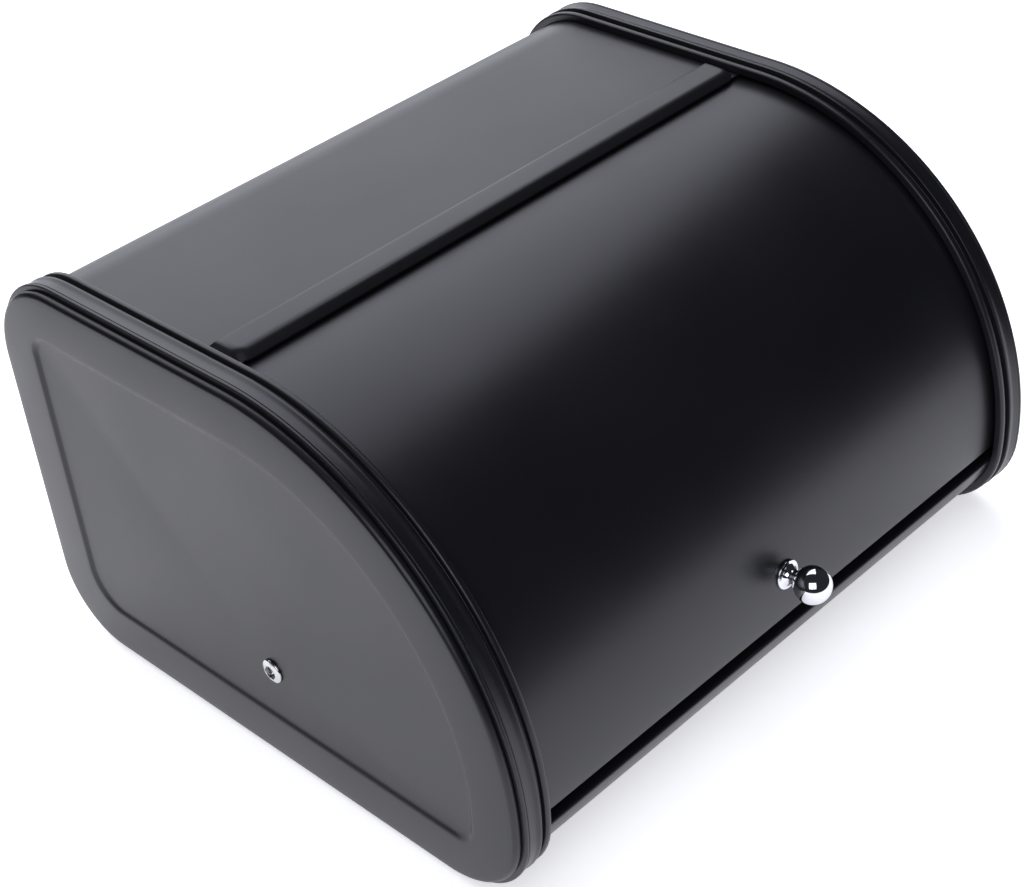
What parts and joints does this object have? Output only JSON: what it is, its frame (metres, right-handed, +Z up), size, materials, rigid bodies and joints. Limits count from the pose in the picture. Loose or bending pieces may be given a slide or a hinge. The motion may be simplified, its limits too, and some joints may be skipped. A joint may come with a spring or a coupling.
{
  "type": "bread bin",
  "caption": "Roll-top bread bin of painted sheet steel: D-shaped ends with rolled rims, and a curved lid with a ball knob that turns back under the top.",
  "frame": {"origin": "on the ground, under the middle of the whole box, the knob included", "axes": "+X along the bin to the right end as seen from the front, -Y towards the front where the lid and its knob are, +Z up"},
  "size_m": [0.3004, 0.2734, 0.1713],
  "materials": {
    "case_paint": "satin black powder coat",
    "lid_paint": "satin black powder coat",
    "bright_nickel": "bright nickel plate",
    "polished_chrome": "polished",
    "zinc_steel": "zinc plated",
    "nylon": "matt",
    "fibre": "matt"
  },
  "bodies": {
    "case": {"left_end_panel": "case_paint", "right_end_panel": "case_paint", "left_rim_band": "case_paint", "right_rim_band": "case_paint", "body_shell": "case_paint", "header_strip": "case_paint", "left_pivot_post": "bright_nickel", "right_pivot_post": "bright_nickel", "left_pivot_spacer": "nylon", "right_pivot_spacer": "nylon", "left_pivot_washer": "zinc_steel", "right_pivot_washer": "zinc_steel", "left_pivot_screw": "zinc_steel", "right_pivot_screw": "zinc_steel"},
    "lid": {"roll_lid": "lid_paint", "left_lid_arm": "lid_paint", "right_lid_arm": "lid_paint", "knob": "polished_chrome", "knob_washer": "fibre", "knob_screw": "zinc_steel"}
  },
  "joints": [
    {"name": "lid_hinge", "type": "hinge", "parent": "case", "child": "lid", "pos_m": [0, 0.00075, 0.0473], "axis": [-1, 0, 0], "range_deg": [0, 85]}
  ]
}
